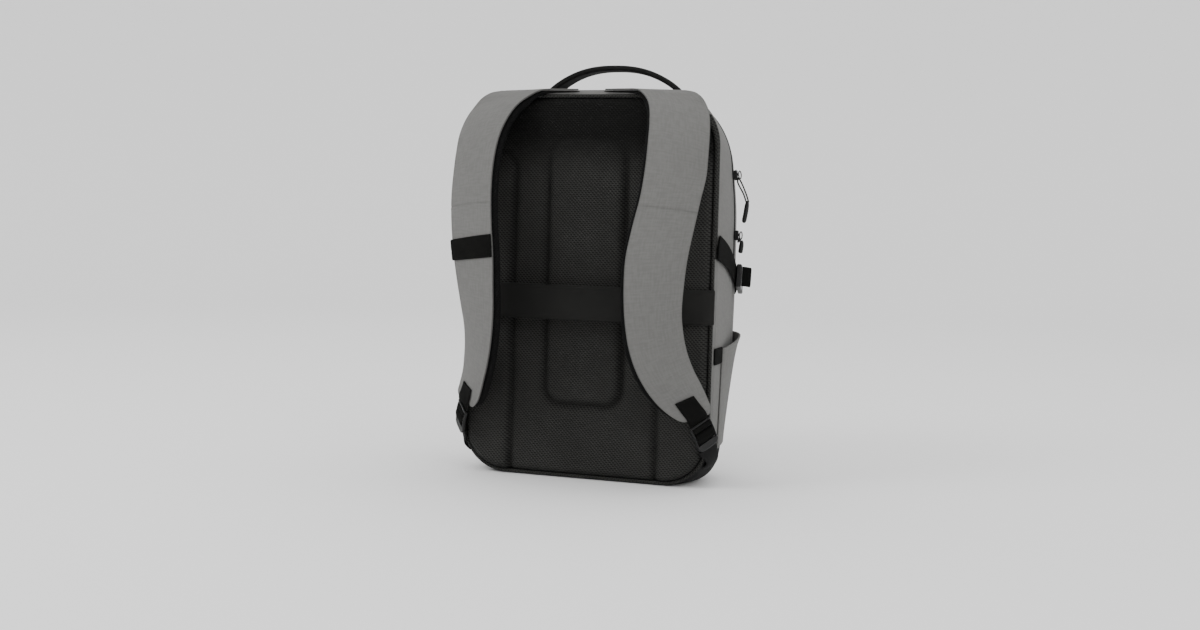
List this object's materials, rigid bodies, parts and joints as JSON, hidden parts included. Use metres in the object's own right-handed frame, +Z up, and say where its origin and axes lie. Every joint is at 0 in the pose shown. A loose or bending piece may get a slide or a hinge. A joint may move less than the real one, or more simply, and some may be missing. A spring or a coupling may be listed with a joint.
{
  "type": "laptop backpack",
  "caption": "Slim laptop backpack with contoured padded shoulder straps, padded mesh back panel, luggage pass-through band, haul handle and side bottle pockets.",
  "frame": {"origin": "middle of the base's underside, the face the backpack stands on", "axes": "+Z up through the haul handle, +Y towards the front of the bag, -Y towards the wearer, +X towards the side with the zip pulls"},
  "size_m": [0.3432, 0.2561, 0.488],
  "materials": {
    "grey_cloth": "grey melange woven polyester, matte, fine cross weave",
    "black_cloth": "black woven polyester, slight sheen",
    "black_mesh": "black air mesh with small cells over foam, matte",
    "black_webbing": "black ribbed polypropylene webbing",
    "black_plastic": "black moulded acetal, satin"
  },
  "bodies": {
    "root": {"rear_gusset": "grey_cloth", "main_zip": "black_cloth", "front_shell": "grey_cloth", "base_panel": "black_cloth", "back_panel": "black_mesh", "panel_piping": "black_cloth", "strap_pad_right": "black_mesh", "strap_pad_left": "black_mesh", "strap_cover_right": "grey_cloth", "strap_cover_left": "grey_cloth", "strap_band_left": "black_webbing", "strap_patch_right": "black_webbing", "strap_patch_left": "black_webbing", "ladder_lock_right": "black_plastic", "ladder_lock_left": "black_plastic", "strap_webbing_right": "black_webbing", "strap_webbing_left": "black_webbing", "strap_wing_right": "black_cloth", "strap_wing_left": "black_cloth", "trolley_strap": "black_cloth", "haul_handle": "black_webbing", "bottle_pocket_right": "grey_cloth", "bottle_pocket_left": "grey_cloth", "pocket_tab_right": "black_webbing", "side_webbing_right": "black_webbing", "side_webbing_left": "black_webbing", "side_buckle_right": "black_plastic", "side_buckle_left": "black_plastic", "side_tail_right": "black_webbing", "side_tail_left": "black_webbing", "zip_slider_upper": "black_plastic", "zip_slider_lower": "black_plastic", "zip_pull_upper": "black_plastic", "zip_pull_lower": "black_plastic"}
  },
  "joints": []
}
